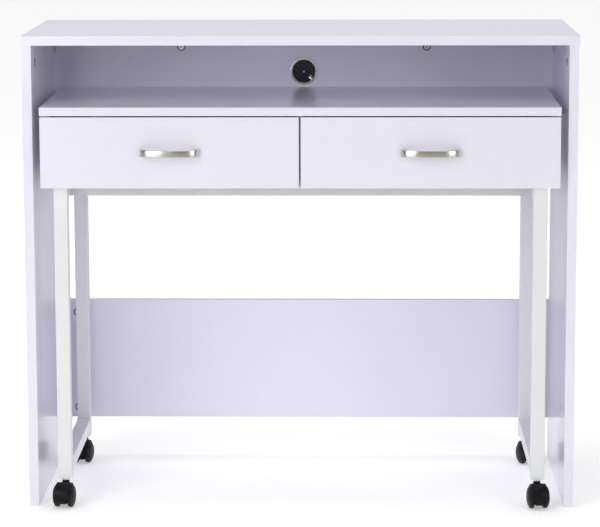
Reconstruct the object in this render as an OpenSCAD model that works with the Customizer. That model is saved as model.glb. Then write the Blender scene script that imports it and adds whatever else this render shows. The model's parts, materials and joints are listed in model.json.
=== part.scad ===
// Two-part sewing table: a board console, and a rolling desk with two drawers that nests under it.
// Millimetres. +X is to the right, +Y to the back and +Z up; the floor is z = 0.
// Shapes are placed from the console's front face, y = 0, and in_frame() centres the whole on the origin.

/* [Console] */
// Width across the top panel
console_w = 1000; // [960:1:1100]
// Depth, front edge to back edge
console_d = 400; // [395:1:440]
// Height to the top surface
console_h = 865; // [855:1:900]
// Thickness of the top and side boards
board_t = 17; // [16:0.5:18]
// How far the top stands proud of each side panel
top_overhang = 1.5; // [0:0.5:2]
// Height of the upper back panel
upper_back_h = 165; // [150:1:180]
// Height of the lower back panel
lower_back_h = 236; // [200:1:260]
// Height of the lower back panel's bottom edge above the floor
lower_back_z = 79; // [70:1:100]
// Thickness of the back panels and of the rolling desk's boards
thin_t = 15; // [15:0.5:16]

/* [Cable grommet] */
// Radius of the liner's flange
flange_r = 27; // [26:0.5:32]
// Depth of the grommet's centre below the top panel
grommet_drop = 81.5; // [70:0.5:90]
// Direction of the cable notch in the cap, in degrees from the right
notch_turn = -45; // [-90:5:-20]
// Width of the cable notch
notch_w = 7; // [7:0.5:9]

/* [Rolling desk] */
// Width of the desktop
desk_w = 934; // [930:1:940]
// Depth of the desktop
desk_d = 375; // [370:1:378]
// Height of the work surface
desk_h = 738; // [730:1:745]
// How far the drawer fronts stand out from the console's front
desk_proud = 15; // [10:1:20]
// Height of the drawer fronts
front_h = 128; // [126:1:130]
// Gap between the desktop and the drawer fronts
front_gap = 2.5; // [2:0.5:3]
// Gap between the two drawer fronts
middle_gap = 3.6; // [2:0.2:4]
// Thickness of the drawer sides and backs
drawer_t = 12; // [11:0.5:12]
// Height of the drawer sides
drawer_side_h = 88; // [80:1:92]
// Depth of the drawer boxes behind their fronts
drawer_len = 320; // [310:1:325]

/* [Handles] */
// Overall length of a handle
handle_w = 108; // [104:1:116]
// Height of a handle's bar
handle_h = 14.4; // [13:0.2:15]
// How far a handle stands out from the drawer front
handle_reach = 24; // [22:1:28]
// Distance between a handle's two screws
screw_pitch = 96; // [92:1:96]

/* [Leg frames] */
// Outside width of the square tube
tube = 25; // [25:1:26]
// Wall of the square tube
tube_wall = 1.2; // [1:0.1:1.5]
// Distance of each leg's centre from the middle of the desk
leg_x = 433; // [425:1:436]
// Height of the legs' lower ends above the floor
leg_foot_z = 52; // [52:1:54]
// Height of the bottom rail's underside above the floor
rail_z = 61; // [60:1:70]
// Distance of the front cross rail from the front of the legs
cross_rail_inset = 48; // [40:1:60]

/* [Casters] */
// Radius of a caster wheel
wheel_r = 21; // [20:0.5:21]
// Width over the two wheels of a caster
caster_w = 41; // [38:0.5:42]
// Clear space between the two wheels of a caster
wheel_gap = 16; // [15:0.5:17]
// Horizontal distance from the swivel axis to the wheel axle
caster_trail = 16; // [15:0.5:18]
// Resting turn of the front left, front right, rear left and rear right casters
caster_turns = [-5, 5, -11, 18];

/* [Hidden] */
$fn = 48;

// Clearances
slip = 0.1;             // between pieces that are only laid together
swivel_gap = 0.05;      // radial, where something turns on a pin
eps = 1;                // how far a cutter runs past a face

// Console
side_out = console_w / 2 - top_overhang;
side_in = side_out - board_t;
top_under = console_h - board_t;
back_face = console_d - thin_t;
upper_back_z = top_under - upper_back_h;
grommet_z = top_under - grommet_drop;

// Cam fittings: a turned zinc cam in one board pulls on a steel bolt in the next
cam_r = 7.5;
cam_depth = 12;
cam_edge = 34;          // cam centre to the board's edge
cam_slot_depth = 2.2;
cam_turn = 20;          // turn of the cams' cross recesses once tightened
bolt_head_r = 3.4;
bolt_shank_r = 3.3;
bolt_neck_r = 2.2;
bolt_thread_r = 2.45;
bolt_bite = 10;         // length of bolt in the next board
side_cam_y = [55, console_d - 42];
back_cam_x = 238;
upper_cam_z = [upper_back_z + 25];
lower_cam_z = [lower_back_z + 20, lower_back_z + lower_back_h - 25];

// Grommet
liner_r = flange_r - 2.2;
cap_r = liner_r - 2.5;
ledge_r = cap_r - 1.8;
flange_t = 1.8;
ledge_face = 1.9;       // panel face back to the ledge that the cap rests on
ledge_back = 3.4;
cap_back = 6;
liner_slack = 0.2;
notch_rim = 0.4;        // liner wall left outside the notch in its ledge

// Rolling desk
desk_front = -desk_proud;
desk_back = desk_front + desk_d;
desk_under = desk_h - thin_t;
carcass_front = 1.5;
carcass_inset = 10;     // desktop's back edge to the carcass back
carcass_back_y = desk_back - carcass_inset;
desk_lip = 2;           // desktop past the carcass on each side
carcass_half = desk_w / 2 - desk_lip;
carcass_wall = carcass_half - thin_t;
front_top = desk_under - front_gap;
front_bottom = front_top - front_h;
front_lap = 2.5;        // drawer fronts below the carcass floor's underside
frame_top = front_bottom + front_lap;
floor_top = frame_top + thin_t;
divider_half = thin_t / 2;
front_half = desk_w / 2 - 0.5;
wall_cam_y = [carcass_front + 48, carcass_back_y - 60];

// Drawer runners: a C-shaped channel on the carcass and a flanged rail on the drawer
runner_len = 300;
runner_y = 5;
runner_gap = 12;        // carcass wall to drawer side
channel_h = 27;
channel_w = 9.5;
sheet = 1.2;
roller_r = 10;
roller_w = 5.6;
roller_x = 3.2;         // bay wall to the near face of a roller
roller_inset = 12;      // roller axis to the end of its runner
roller_pin_r = 2.5;
roller_head_r = 4;
roof_x = 2.5;           // the drawer rail's roof, which rides on the bay's roller
roof_z = 22.2;
rail_y = runner_y - 3;
rail_len = runner_len - 2;
runner_screw_y = [60, 150, 250];
runner_screw_z = 12;
runner_screw_r = 1.7;
runner_screw_head_r = 3.2;
bay_screw_len = 7;
rail_screw_len = 6;
drawer_z = floor_top + 12;
bay_roller_z = drawer_z + 12;
drawer_roller_z = drawer_z + sheet + roller_r + 0.15;
drawer_out = runner_gap;
drawer_floor_t = 3;
drawer_back_drop = 5;   // top of a drawer's back below its sides
drawer_floor_z = drawer_z + 8;
slot_depth = 5;         // grooves that hold the drawer bottom
slot_slack = 0.2;

// Leg frames
frame_front = carcass_front + 0.5;
frame_back = desk_back;
top_rail_z = frame_top - tube;
tube_corner_r = 1.5;
weld_gap = 0.05;
tube_bore = tube - 2 * tube_wall;
socket_flange = 3;
socket_plug_h = 25;
socket_hole_h = 25;
leg_end_z = leg_foot_z + socket_flange;
leg_in = leg_x - tube / 2;
front_leg_y = frame_front + tube / 2;
rear_leg_y = frame_back - tube / 2;
top_rail_mid = top_rail_z + tube / 2;
cross_rail_y = [frame_front + cross_rail_inset, frame_back - cross_rail_inset - tube];
frame_screw_inset = 105;
frame_screw_y = [frame_front + frame_screw_inset, frame_back - frame_screw_inset];
frame_screw_bite = 10;
bolt_r = 3;
bolt_head_w = 6;
hex_key = 4.6;
hex_depth = 2;

// Casters
axle_r = 3;
stem_r = 4;
neck_r = 6.5;
neck_top = 47;
neck_bottom = 30;
neck_root = neck_bottom - 4;
collar_z = 47.4;
collar_h = 4;
collar_d = 15;
stem_end_z = leg_foot_z + 21;
hood_half = wheel_gap / 2 - 0.5;
hood_drop = 11.5;       // axle to the web's flat underside
fender_in = wheel_r + 1.2;
fender_out = wheel_r + 3;
fender_half = 13.5;
groove_heights = [4, 14];
groove_half = 7;
groove_w = 0.8;
groove_depth = 0.5;
fender_low = 2;         // lower edge of the fender below the axle
vent_r = 1.4;           // blind hole in the front of the hood's web
vent_depth = 6;
vent_drop = 2;
wheel_w = (caster_w - wheel_gap) / 2;
axle_bite = 7;          // length of axle in each wheel

// The whole is centred between the handles' faces and the console's back
mid_y = (console_d + desk_front - handle_reach) / 2;

module in_frame() {
    translate([0, -mid_y, 0]) children();
}

// A block from its lowest to its highest corner
module block(low, high) {
    translate(low) cube(high - low);
}

// Puts a fitting at p, with its own +Z along out and its own +X along to
module aim(p, out, to) {
    side = cross(out, to);
    multmatrix([
        [to.x, side.x, out.x, p.x],
        [to.y, side.y, out.y, p.y],
        [to.z, side.z, out.z, p.z],
        [0, 0, 0, 1]
    ]) children();
}

// ---- Cam fittings ----
// Each entry of a cam list is [cam centre on the board's face, way out of the face, way to the next board].

module cam_pocket(mid, edge, depth) {
    translate([0, 0, -depth - slip]) cylinder(r = cam_r, h = depth + slip + eps);
    translate([0, 0, -mid]) rotate([0, 90, 0]) cylinder(r = bolt_shank_r + slip, h = edge + eps);
}

module cam_bolt_hole(mid, edge) {
    translate([edge - eps, 0, -mid]) rotate([0, 90, 0])
        cylinder(r = bolt_thread_r + slip / 5, h = bolt_bite + 1 + eps);
}

module cam_fitting(mid, edge, depth) {
    slot_w = 1.6;
    slot_len = 8;
    head_len = 4;
    neck_len = 4;
    difference() {
        translate([0, 0, -depth]) cylinder(r = cam_r - slip, h = depth);
        translate([0, 0, -mid]) rotate([0, 90, 0]) cylinder(r = bolt_head_r + 0.3, h = cam_r + eps);
        for (a = [0, 90]) rotate([0, 0, a + cam_turn])
            block([-slot_len / 2, -slot_w / 2, -cam_slot_depth], [slot_len / 2, slot_w / 2, eps]);
    }
    translate([1, 0, -mid]) rotate([0, 90, 0]) {
        cylinder(r = bolt_head_r, h = head_len);
        cylinder(r = bolt_neck_r, h = head_len + neck_len);
        translate([0, 0, head_len + neck_len])
            cylinder(r = bolt_shank_r, h = edge - 1 - head_len - neck_len);
        translate([0, 0, edge - 1]) cylinder(r = bolt_thread_r, h = bolt_bite);
    }
}

module at_cams(cams) {
    for (c = cams) aim(c[0], c[1], c[2]) children();
}

cam_z = top_under - cam_edge;

function side_cams(s) = [for (y = side_cam_y) [[s * side_in, y, cam_z], [-s, 0, 0], [0, 0, 1]]];
function top_cams() = [for (s = [-1, 1]) [[s * back_cam_x, back_face, cam_z], [0, -1, 0], [0, 0, 1]]];
function end_cams(s, heights) =
    [for (z = heights) [[s * (side_in - cam_edge), back_face, z], [0, -1, 0], [s, 0, 0]]];

// Cams in the carcass sides, seen from inside the bays, and in the divider
function wall_cams(x, out) = [for (y = wall_cam_y) for (up = [0, 1])
    [[x, y, up == 1 ? desk_under - cam_edge : floor_top + cam_edge], [out, 0, 0], [0, 0, up * 2 - 1]]];

// ---- Console boards ----

module top_panel() {
    color("white") in_frame() difference() {
        block([-console_w / 2, 0, top_under], [console_w / 2, console_d, console_h]);
        for (s = [-1, 1]) at_cams(side_cams(s)) cam_bolt_hole(board_t / 2, cam_edge);
        at_cams(top_cams()) cam_bolt_hole(thin_t / 2, cam_edge);
    }
}

module side_panel(s) {
    color("white") in_frame() difference() {
        block([min(s * side_in, s * side_out), 0, 0],
              [max(s * side_in, s * side_out), console_d, top_under]);
        at_cams(side_cams(s)) cam_pocket(board_t / 2, cam_edge, cam_depth);
        at_cams(end_cams(s, concat(upper_cam_z, lower_cam_z))) cam_bolt_hole(thin_t / 2, cam_edge);
    }
}

module upper_back_panel() {
    color("white") in_frame() difference() {
        block([-side_in, back_face, upper_back_z], [side_in, console_d, top_under]);
        at_cams(top_cams()) cam_pocket(thin_t / 2, cam_edge, cam_depth);
        for (s = [-1, 1]) at_cams(end_cams(s, upper_cam_z)) cam_pocket(thin_t / 2, cam_edge, cam_depth);
        translate([0, back_face - eps, grommet_z]) rotate([-90, 0, 0])
            cylinder(r = liner_r + liner_slack, h = thin_t + 2 * eps);
    }
}

module lower_back_panel() {
    color("white") in_frame() difference() {
        block([-side_in, back_face, lower_back_z], [side_in, console_d, lower_back_z + lower_back_h]);
        for (s = [-1, 1]) at_cams(end_cams(s, lower_cam_z)) cam_pocket(thin_t / 2, cam_edge, cam_depth);
    }
}

module console_cam_fittings() {
    color("silver") in_frame() {
        for (s = [-1, 1]) {
            at_cams(side_cams(s)) cam_fitting(board_t / 2, cam_edge, cam_depth);
            at_cams(end_cams(s, concat(upper_cam_z, lower_cam_z)))
                cam_fitting(thin_t / 2, cam_edge, cam_depth);
        }
        at_cams(top_cams()) cam_fitting(thin_t / 2, cam_edge, cam_depth);
    }
}

// ---- Cable grommet: a plated liner in the upper back panel, and a cap that turns in it ----

// Profile space: x is the radius, and y the distance in front of the panel's face
module about_grommet() {
    translate([0, back_face, grommet_z]) rotate([90, 0, 0]) rotate_extrude() children();
}

// The cable notch, from depth behind the panel's face to past the front, with its outer end at radius end_r
module cable_notch(depth, end_r) {
    translate([0, back_face, grommet_z]) rotate([0, -notch_turn, 0])
        block([cap_r - notch_w, -flange_t - eps, -notch_w / 2], [end_r, depth, notch_w / 2]);
}

module grommet_liner() {
    color("silver") in_frame() difference() {
        about_grommet() {
            translate([cap_r + slip, 0]) square([flange_r - flange_t / 2 - cap_r - slip, flange_t]);
            intersection() {
                translate([flange_r - flange_t / 2, flange_t / 2]) circle(r = flange_t / 2);
                square([flange_r + eps, flange_t]);
            }
            translate([cap_r + slip, 0.5 - thin_t]) square([liner_r - cap_r - slip, thin_t]);
            translate([ledge_r, -ledge_back]) square([liner_r - ledge_r, ledge_back - ledge_face]);
        }
        cable_notch(ledge_back + eps, cap_r - notch_rim);
    }
}

// The cap's skirt passes the ledge, and its bead snaps behind it
module grommet_cap() {
    rim = 2.2;
    rim_proud = 1.2;
    face = 0.4;
    skirt = 1.5;
    bead = 0.6;
    skirt_r = ledge_r - 0.2;
    hub_r = 1.6;
    color("black") in_frame() difference() {
        about_grommet() {
            translate([0, slip - ledge_face]) square([cap_r, ledge_face + face - slip]);
            translate([cap_r - rim, 0]) square([rim, rim_proud]);
            translate([skirt_r - skirt, -cap_back]) square([skirt, cap_back]);
            translate([skirt_r - skirt, -ledge_back - 2 * bead]) square([skirt + bead, bead]);
            square([hub_r, face + 1]);
        }
        cable_notch(cap_back + eps, cap_r + eps);
    }
}

// ---- Rolling desk: boards ----

module desktop() {
    color("white") in_frame() difference() {
        block([-desk_w / 2, desk_front, desk_under], [desk_w / 2, desk_back, desk_h]);
        for (s = [-1, 1]) at_cams(wall_cams(s * carcass_wall, -s)) cam_bolt_hole(thin_t / 2, cam_edge);
        at_cams(wall_cams(-divider_half, -1)) cam_bolt_hole(thin_t / 2, cam_edge);
    }
}

module carcass_bottom() {
    color("white") in_frame() difference() {
        block([-carcass_half, carcass_front, frame_top], [carcass_half, carcass_back_y, floor_top]);
        for (s = [-1, 1]) at_cams(wall_cams(s * carcass_wall, -s)) cam_bolt_hole(thin_t / 2, cam_edge);
        at_cams(wall_cams(-divider_half, -1)) cam_bolt_hole(thin_t / 2, cam_edge);
        at_frame_screws() translate([0, 0, frame_top - eps])
            cylinder(r = bolt_r + slip / 5, h = frame_screw_bite + 1 + eps);
    }
}

module carcass_side(s) {
    color("white") in_frame() difference() {
        block([min(s * carcass_wall, s * carcass_half), carcass_front, floor_top],
              [max(s * carcass_wall, s * carcass_half), carcass_back_y, desk_under]);
        at_cams(wall_cams(s * carcass_wall, -s)) cam_pocket(thin_t / 2, cam_edge, cam_depth);
        in_bay(s) at_runner_screws(runner_y) runner_pilot_hole(bay_screw_len);
    }
}

module centre_divider() {
    color("white") in_frame() difference() {
        block([-divider_half, carcass_front, floor_top],
              [divider_half, carcass_back_y - thin_t, desk_under]);
        at_cams(wall_cams(-divider_half, -1)) cam_pocket(thin_t / 2, cam_edge, cam_depth);
        for (s = [-1, 1]) in_bay(s) on_far_wall() at_runner_screws(runner_y)
            runner_pilot_hole(bay_screw_len);
    }
}

module carcass_back() {
    color("white") in_frame()
        block([-carcass_wall, carcass_back_y - thin_t, floor_top],
              [carcass_wall, carcass_back_y, desk_under]);
}

// The carcass's cam fittings, and the screws of the bays' runners
module carcass_fasteners() {
    color("silver") in_frame() {
        at_cams(wall_cams(-divider_half, -1)) cam_fitting(thin_t / 2, cam_edge, cam_depth);
        for (s = [-1, 1]) {
            at_cams(wall_cams(s * carcass_wall, -s)) cam_fitting(thin_t / 2, cam_edge, cam_depth);
            in_bay(s) on_both_walls() at_runner_screws(runner_y) runner_screw(bay_screw_len);
        }
    }
}

// ---- Rolling desk: steel frame ----

module rounded_square(w, r) {
    square([w - 2 * r, w], center = true);
    square([w, w - 2 * r], center = true);
    for (x = [-1, 1], y = [-1, 1]) translate([x * (w / 2 - r), y * (w / 2 - r)]) circle(r = r);
}

// Square tube along +Z from the origin
module square_tube(length) {
    linear_extrude(height = length) difference() {
        rounded_square(tube, tube_corner_r);
        square(tube_bore, center = true);
    }
}

module at_frame_screws() {
    for (s = [-1, 1], y = frame_screw_y) translate([s * leg_x, y, 0]) children();
}

module at_cross_bolts() {
    for (s = [-1, 1], y = cross_rail_y)
        translate([s * leg_x, y + tube / 2, top_rail_mid]) rotate([0, s * 90, 0]) children();
}

// A welded loop: two legs, with a top and a bottom rail butted between them but for the weld gap
module leg_frame(s) {
    rail = rear_leg_y - front_leg_y - tube - 2 * weld_gap;
    color("whitesmoke") in_frame() difference() {
        union() {
            for (y = [front_leg_y, rear_leg_y]) translate([s * leg_x, y, leg_end_z])
                square_tube(frame_top - leg_end_z);
            for (z = [rail_z + tube / 2, top_rail_mid])
                translate([s * leg_x, front_leg_y + tube / 2 + weld_gap, z])
                    rotate([-90, 0, 0]) square_tube(rail);
        }
        at_frame_screws() translate([0, 0, top_rail_z - eps])
            cylinder(r = bolt_r + 2 * slip, h = tube + 2 * eps);
        at_cross_bolts() translate([0, 0, -tube]) cylinder(r = bolt_r + 2 * slip, h = 2 * tube);
    }
}

// A tube with a threaded plate welded in each end
module cross_rail(y) {
    plate = 3;
    half = leg_in - slip;
    color("whitesmoke") in_frame() difference() {
        translate([0, y + tube / 2, top_rail_mid]) {
            translate([-half, 0, 0]) rotate([0, 90, 0]) square_tube(2 * half);
            for (s = [-1, 1]) translate([s * (half - plate / 2), 0, 0])
                cube([plate, tube_bore, tube_bore], center = true);
        }
        at_cross_bolts() translate([0, 0, -2 * tube]) cylinder(r = bolt_r + slip / 5, h = 3 * tube);
    }
}

module hex_recess() {
    cylinder(d = hex_key, h = hex_depth + eps, $fn = 6);
}

// Screws up into the carcass, and bolts sideways into the cross rails
module frame_bolts() {
    head_t = 3.5;
    color("silver") in_frame() {
        at_frame_screws() difference() {
            union() {
                translate([0, 0, top_rail_z - head_t]) cylinder(r = bolt_head_w, h = head_t);
                translate([0, 0, top_rail_z - head_t])
                    cylinder(r = bolt_r, h = tube + frame_screw_bite + head_t);
            }
            translate([0, 0, top_rail_z - head_t - eps]) hex_recess();
        }
        at_cross_bolts() difference() {
            union() {
                translate([0, 0, tube / 2]) cylinder(r = bolt_head_w, h = head_t);
                translate([0, 0, -tube]) cylinder(r = bolt_r, h = 1.5 * tube + head_t);
            }
            translate([0, 0, tube / 2 + head_t - hex_depth]) hex_recess();
        }
    }
}

// ---- Rolling desk: casters ----
// n counts front left, front right, rear left and rear right.

function caster_side(n) = n % 2 == 0 ? -1 : 1;
function caster_x(n) = caster_side(n) * leg_x;
function caster_y(n) = n < 2 ? front_leg_y : rear_leg_y;

module at_caster(n) {
    translate([caster_x(n), caster_y(n), 0]) rotate([0, 0, caster_turns[n]]) children();
}

module at_axle(n) {
    at_caster(n) translate([0, -caster_trail, wheel_r]) rotate([0, 90, 0]) children();
}

// Plastic plugs in the legs' lower ends, which take the stems
module caster_sockets() {
    plug = tube_bore - 2 * slip;
    color("whitesmoke") in_frame() for (n = [0:3]) translate([caster_x(n), caster_y(n), leg_foot_z])
        difference() {
            union() {
                linear_extrude(height = socket_flange) rounded_square(tube, tube_corner_r);
                translate([-plug / 2, -plug / 2, socket_flange]) cube([plug, plug, socket_plug_h]);
            }
            translate([0, 0, -eps]) cylinder(r = stem_r + slip / 5, h = socket_hole_h);
        }
}

// Steel stems: a plain pin that the hood turns on, a hexagon collar, and a thread up into the socket
module caster_stems() {
    color("silver") in_frame() for (n = [0:3]) translate([caster_x(n), caster_y(n), 0]) {
        translate([0, 0, neck_bottom + 0.5]) cylinder(r = stem_r, h = stem_end_z - neck_bottom);
        translate([0, 0, collar_z]) cylinder(d = collar_d, h = collar_h, $fn = 6);
    }
}

// The hood's side views are about the axle: x runs forwards, away from the stem, and y up

hood_span = 2 * fender_out;

module hood_web() {
    difference() {
        union() {
            circle(r = fender_out);
            translate([-caster_trail, 0]) square([caster_trail, fender_out - 2]);
        }
        translate([-hood_span, -hood_span]) square([2 * hood_span, hood_span - hood_drop]);
        translate([-hood_span, -hood_span]) square([hood_span - hood_drop, hood_span]);
    }
}

// The fender starts above the stem and runs down the front
module hood_fender() {
    rear_h = 10;
    difference() {
        circle(r = fender_out);
        circle(r = fender_in);
        translate([-hood_span, -hood_span]) square([2 * hood_span, hood_span - fender_low]);
        translate([-hood_span, -hood_span]) square([hood_span, hood_span + rear_h]);
    }
}

// Thickens a side view to half_w on each side of the caster's middle
module across(n, half_w) {
    at_caster(n) translate([-half_w, -caster_trail, wheel_r]) rotate([90, 0, -90]) mirror([0, 0, 1])
        linear_extrude(height = 2 * half_w) children();
}

// Hood: a web between the wheels, a grooved fender over their inner halves, and a neck round the stem
module caster_hood(n) {
    color("black") in_frame() difference() {
        union() {
            across(n, hood_half) hood_web();
            across(n, fender_half) hood_fender();
            at_caster(n) translate([0, 0, neck_root]) cylinder(r = neck_r, h = neck_top - neck_root);
        }
        at_caster(n) translate([0, 0, neck_bottom]) cylinder(r = stem_r + swivel_gap, h = neck_top);
        at_axle(n) translate([0, 0, -hood_half - eps])
            cylinder(r = axle_r + slip / 5, h = 2 * (hood_half + eps));
        for (z = groove_heights) across(n, groove_half) intersection() {
            difference() {
                circle(r = fender_out + eps);
                circle(r = fender_out - groove_depth);
            }
            translate([0, z]) square([2 * fender_out, groove_w]);
        }
        at_caster(n) translate([0, -caster_trail - fender_out - eps, wheel_r - vent_drop])
            rotate([-90, 0, 0]) cylinder(r = vent_r, h = vent_depth + eps);
    }
}

module caster_axle(n) {
    half = wheel_gap / 2 + axle_bite;
    color("silver") in_frame() at_axle(n) translate([0, 0, -half]) cylinder(r = axle_r, h = 2 * half);
}

// A wheel with a flat tread, a domed outer face and a blind hub; s is -1 on the left of the caster
module caster_wheel(n, s) {
    edge_r = 3;
    dome = 7;
    flat_r = 5;
    shoulder = wheel_w - dome;
    hollow_r = 7;
    hollow_w = 9.5;
    hollow_depth = 4;
    color("black") in_frame() at_axle(n) mirror([0, 0, s < 0 ? 1 : 0]) translate([0, 0, wheel_gap / 2])
        rotate_extrude() difference() {
            union() {
                square([wheel_r - edge_r, shoulder]);
                translate([0, edge_r]) square([wheel_r, shoulder - edge_r]);
                translate([wheel_r - edge_r, edge_r]) circle(r = edge_r);
                polygon(concat([[0, shoulder]], [for (t = [0:7.5:90])
                    [flat_r + (wheel_r - flat_r) * cos(t), shoulder + dome * sin(t)]], [[0, wheel_w]]));
            }
            translate([-eps, -eps]) square([axle_r + swivel_gap + eps, axle_bite + 0.3 + eps]);
            translate([hollow_r, -eps]) square([hollow_w, hollow_depth + eps]);
        }
}

// ---- Drawers ----
// s is -1 for the left drawer and 1 for the right one.
// Bay space has its x = 0 at the bay's outer wall, and runs to bay_w at the divider.

bay_w = carcass_wall - divider_half;

module in_bay(s) {
    mirror([s > 0 ? 1 : 0, 0, 0]) translate([-carcass_wall, 0, 0]) children();
}

// What is drawn on the wall at x = 0 is mirrored onto the divider
module on_far_wall() {
    translate([bay_w, 0, 0]) mirror([1, 0, 0]) children();
}

module on_both_walls() {
    children();
    on_far_wall() children();
}

// Runs an outline in x and z along +Y from y0
module along_y(y0, length) {
    translate([0, y0 + length, 0]) rotate([90, 0, 0]) linear_extrude(height = length) children();
}

// The screws of a runner whose sheet lies on a board at x = 0; their +Z runs into the board
module at_runner_screws(y0) {
    for (y = runner_screw_y)
        translate([0, y0 + y, drawer_z + runner_screw_z]) rotate([0, -90, 0]) children();
}

module runner_screw_hole() {
    translate([0, 0, -sheet - eps]) cylinder(r = runner_screw_head_r + slip, h = sheet + eps);
}

// A flat head that fills its hole in the sheet, and a thread in the board
module runner_screw(length) {
    slot_len = 4;
    slot_w = 0.8;
    difference() {
        union() {
            translate([0, 0, -sheet]) cylinder(r = runner_screw_head_r, h = sheet);
            translate([0, 0, -sheet / 2]) cylinder(r = runner_screw_r, h = length + sheet / 2);
        }
        for (a = [0, 90]) rotate([0, 0, a])
            block([-slot_len / 2, -slot_w / 2, -sheet - eps], [slot_len / 2, slot_w / 2, -sheet / 3]);
    }
}

module runner_pilot_hole(length) {
    translate([0, 0, -eps]) cylinder(r = runner_screw_r + slip / 5, h = length + 0.3 + eps);
}

// The screws that hold a drawer's runners, whose sheet lies on the drawer side
module at_drawer_runner_screws() {
    translate([drawer_out, 0, 0]) mirror([1, 0, 0]) at_runner_screws(rail_y) children();
}

module bay_runners(s) {
    color("silver") in_frame() in_bay(s) on_both_walls() {
        difference() {
            along_y(runner_y, runner_len) translate([0, drawer_z]) difference() {
                square([channel_w, channel_h]);
                translate([sheet, sheet]) square([channel_w, channel_h - 2 * sheet]);
            }
            at_runner_screws(runner_y) runner_screw_hole();
        }
        translate([sheet / 2, runner_y + roller_inset, bay_roller_z]) rotate([0, 90, 0]) {
            cylinder(r = roller_pin_r, h = runner_gap - sheet - 1);
            translate([0, 0, runner_gap - 3]) cylinder(r = roller_head_r, h = 0.7);
        }
    }
}

module bay_rollers(s) {
    color("white") in_frame() in_bay(s) on_both_walls()
        translate([roller_x, runner_y + roller_inset, bay_roller_z]) rotate([0, 90, 0]) roller();
}

module roller() {
    difference() {
        cylinder(r = roller_r, h = roller_w);
        translate([0, 0, -eps]) cylinder(r = roller_pin_r + swivel_gap, h = roller_w + 2 * eps);
    }
}

module drawer_runners(s) {
    web = runner_gap - sheet;
    color("silver") in_frame() in_bay(s) on_both_walls() {
        difference() {
            along_y(rail_y, rail_len) translate([0, drawer_z]) {
                translate([web, -sheet]) square([sheet, roof_z + 2 * sheet]);
                translate([roof_x, roof_z]) square([web - roof_x + sheet, sheet]);
                translate([web, -sheet]) square([sheet + drawer_t, sheet]);
            }
            at_drawer_runner_screws() runner_screw_hole();
        }
        translate([roof_x - 0.1, drawer_roller_y(), drawer_roller_z]) rotate([0, 90, 0]) {
            cylinder(r = roller_pin_r, h = web - roof_x + sheet / 2);
            cylinder(r = roller_head_r, h = 0.6);
        }
    }
}

module drawer_rollers(s) {
    color("white") in_frame() in_bay(s) on_both_walls()
        translate([roller_x, drawer_roller_y(), drawer_roller_z]) rotate([0, 90, 0]) roller();
}

function drawer_roller_y() = runner_y + runner_len - roller_inset;

// Cams that hold the drawer sides to the front, seen from inside the drawer
drawer_cam_edge = 24;
drawer_cam_depth = 10;
drawer_cam_z = [drawer_z + 30, drawer_z + drawer_side_h - 20];
drawer_in = drawer_out + drawer_t;
drawer_cams = [for (z = drawer_cam_z) [[drawer_in, drawer_cam_edge, z], [1, 0, 0], [0, -1, 0]]];

back_screw_z = [drawer_z + 40, drawer_z + drawer_side_h - 14];
back_screw_r = 2;
back_screw_len = 40;
back_screw_head_r = 4;
back_screw_sink = 2.5;
box_back = drawer_len - drawer_t;

// Wood screws through a drawer side into the end of the drawer's back
module at_back_screws() {
    for (z = back_screw_z)
        translate([drawer_out, box_back + drawer_t / 2, z]) rotate([0, 90, 0]) children();
}

// The two screws of a handle, whose +Z runs forwards from the back of the drawer front
module at_handle_screws(s) {
    for (i = [-1, 1])
        translate([s * handle_x + i * screw_pitch / 2, 0, handle_z]) rotate([90, 0, 0]) children();
}

handle_screw_r = 1.95;
handle_screw_bite = 7;
handle_x = (front_half + middle_gap / 2) / 2;
handle_z = (front_top + front_bottom) / 2;

module drawer_groove() {
    translate([drawer_in - slot_depth, -slot_depth, drawer_floor_z - slot_slack / 2])
        cube([bay_w - 2 * (drawer_in - slot_depth), box_back + 2 * slot_depth,
              drawer_floor_t + slot_slack]);
}

module drawer_front(s) {
    color("white") in_frame() difference() {
        block([min(s * front_half, s * middle_gap / 2), desk_front, front_bottom],
              [max(s * front_half, s * middle_gap / 2), 0, front_top]);
        in_bay(s) drawer_groove();
        in_bay(s) on_both_walls() at_cams(drawer_cams) cam_bolt_hole(drawer_t / 2, drawer_cam_edge);
        at_handle_screws(s) translate([0, 0, -eps])
            cylinder(r = handle_screw_r + 0.3, h = desk_proud + 2 * eps);
    }
}

// w is 0 for the side by the bay's outer wall, and 1 for the one by the divider
module drawer_side(s, w) {
    color("white") in_frame() in_bay(s) translate([w * bay_w, 0, 0]) mirror([w, 0, 0]) difference() {
        block([drawer_out, 0, drawer_z], [drawer_in, drawer_len, drawer_z + drawer_side_h]);
        drawer_groove();
        at_cams(drawer_cams) cam_pocket(drawer_t / 2, drawer_cam_edge, drawer_cam_depth);
        at_back_screws() {
            translate([0, 0, -eps]) cylinder(r = back_screw_r + slip, h = drawer_t + 2 * eps);
            translate([0, 0, -eps])
                cylinder(r = back_screw_head_r + slip, h = back_screw_sink + slip + eps);
        }
        at_drawer_runner_screws() runner_pilot_hole(rail_screw_len);
    }
}

module drawer_back(s) {
    color("white") in_frame() in_bay(s) difference() {
        block([drawer_in, box_back, drawer_z],
              [bay_w - drawer_in, drawer_len, drawer_z + drawer_side_h - drawer_back_drop]);
        drawer_groove();
        on_both_walls() at_back_screws() translate([0, 0, drawer_t - eps])
            cylinder(r = back_screw_r + slip / 5, h = back_screw_len);
    }
}

module drawer_bottom(s) {
    bite = slot_depth - 0.3;
    color("tan") in_frame() in_bay(s)
        block([drawer_in - bite, -bite, drawer_floor_z],
              [bay_w - drawer_in + bite, box_back + bite, drawer_floor_z + drawer_floor_t]);
}

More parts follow.
